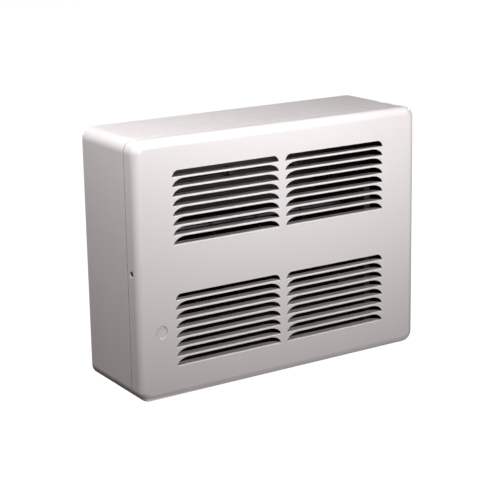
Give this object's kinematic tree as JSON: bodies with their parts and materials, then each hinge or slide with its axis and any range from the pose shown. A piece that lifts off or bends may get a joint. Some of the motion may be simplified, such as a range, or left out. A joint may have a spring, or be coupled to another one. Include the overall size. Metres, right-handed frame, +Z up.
{
  "type": "fan convector heater",
  "caption": "Wide, shallow wall-mounted fan heater: painted steel box and louvred front cover over a cross-flow blower and a finned element.",
  "frame": {"origin": "centre of the flat back face, which lies on the wall", "axes": "+Z up, +X to the right as seen from the room, and the front faces -Y"},
  "size_m": [0.45, 0.142, 0.346],
  "materials": {
    "painted_steel": "semi-gloss",
    "plated_screws": "zinc plated",
    "chassis_enamel": "black stove enamel",
    "foam": "matte",
    "rotor_aluminium": "black coated",
    "bright_steel": "ground",
    "sintered_bronze": "sintered",
    "black_rubber": "matte",
    "core_laminations": "varnished laminations",
    "bobbin_plastic": "matte",
    "copper_winding": "enamelled copper",
    "cast_bracket": "die cast",
    "element_sheath": "oxidised",
    "element_fins": "oxidised",
    "ceramic": "glazed",
    "tin_terminals": "tinned",
    "black_plastic": "moulded",
    "red_plastic": "moulded",
    "brass": "turned",
    "green_screw": "green dyed",
    "supply_wires": "insulation",
    "element_wires": "insulation",
    "motor_wires": "insulation",
    "nylon_clip": "black nylon"
  },
  "bodies": {
    "housing": {"air_divider": "chassis_enamel", "back_box": "painted_steel", "blower_scroll": "chassis_enamel", "chassis_screws": "plated_screws", "divider_gasket": "foam", "earth_screw": "green_screw", "element_fins": "element_fins", "element_flange": "chassis_enamel", "element_flange_screws": "plated_screws", "element_insulators": "ceramic", "element_rod": "element_sheath", "element_support": "chassis_enamel", "element_terminals": "tin_terminals", "left_side_plate": "chassis_enamel", "limit_switch": "black_plastic", "motor_bearings": "sintered_bronze", "motor_bobbin": "bobbin_plastic", "motor_bolt_nuts": "plated_screws", "motor_bolts": "plated_screws", "motor_core": "core_laminations", "motor_inner_bracket": "cast_bracket", "motor_outer_bracket": "cast_bracket", "motor_shading_rings": "copper_winding", "motor_winding": "copper_winding", "right_side_plate": "chassis_enamel", "rotor_bush": "sintered_bronze", "rotor_bush_mount": "black_rubber", "terminal_block": "black_plastic", "terminal_block_screws": "plated_screws", "terminal_screws": "brass", "thermostat_body": "black_plastic", "thermostat_bracket": "chassis_enamel", "thermostat_bushing": "brass", "thermostat_nut": "brass", "wire_clips": "nylon_clip", "wires_element": "element_wires", "wires_motor": "motor_wires", "wires_supply": "supply_wires"},
    "cover": {"front_cover": "painted_steel", "cover_screws": "plated_screws", "cover_nuts": "plated_screws"},
    "plug": {"thermostat_plug": "painted_steel"},
    "fan": {"rotor_blades": "rotor_aluminium", "rotor_discs": "rotor_aluminium", "rotor_left_hub": "rotor_aluminium", "rotor_right_hub": "rotor_aluminium", "hub_set_screw": "plated_screws", "rotor_stub_shaft": "bright_steel", "motor_rotor": "bright_steel", "motor_shaft": "bright_steel"},
    "thermostat_dial": {"thermostat_spindle": "bright_steel"},
    "reset": {"limit_reset_button": "red_plastic"}
  },
  "joints": [
    {"name": "cover_pull", "type": "slide", "parent": "housing", "child": "cover", "axis": [0, -1, 0], "range_m": [0, 0.2]},
    {"name": "plug_pull", "type": "slide", "parent": "cover", "child": "plug", "axis": [0, -1, 0], "range_m": [0, 0.015]},
    {"name": "fan_spin", "type": "hinge", "parent": "housing", "child": "fan", "pos_m": [0, -0.058, 0.012], "axis": [1, 0, 0], "continuous": true},
    {"name": "thermostat_turn", "type": "hinge", "parent": "housing", "child": "thermostat_dial", "pos_m": [-0.1922, -0.11, -0.0796], "axis": [0, -1, 0], "range_deg": [-270, 0]},
    {"name": "reset_push", "type": "slide", "parent": "housing", "child": "reset", "axis": [1, 0, 0], "range_m": [0, 0.0025], "stiffness_N_per_m": 800}
  ]
}
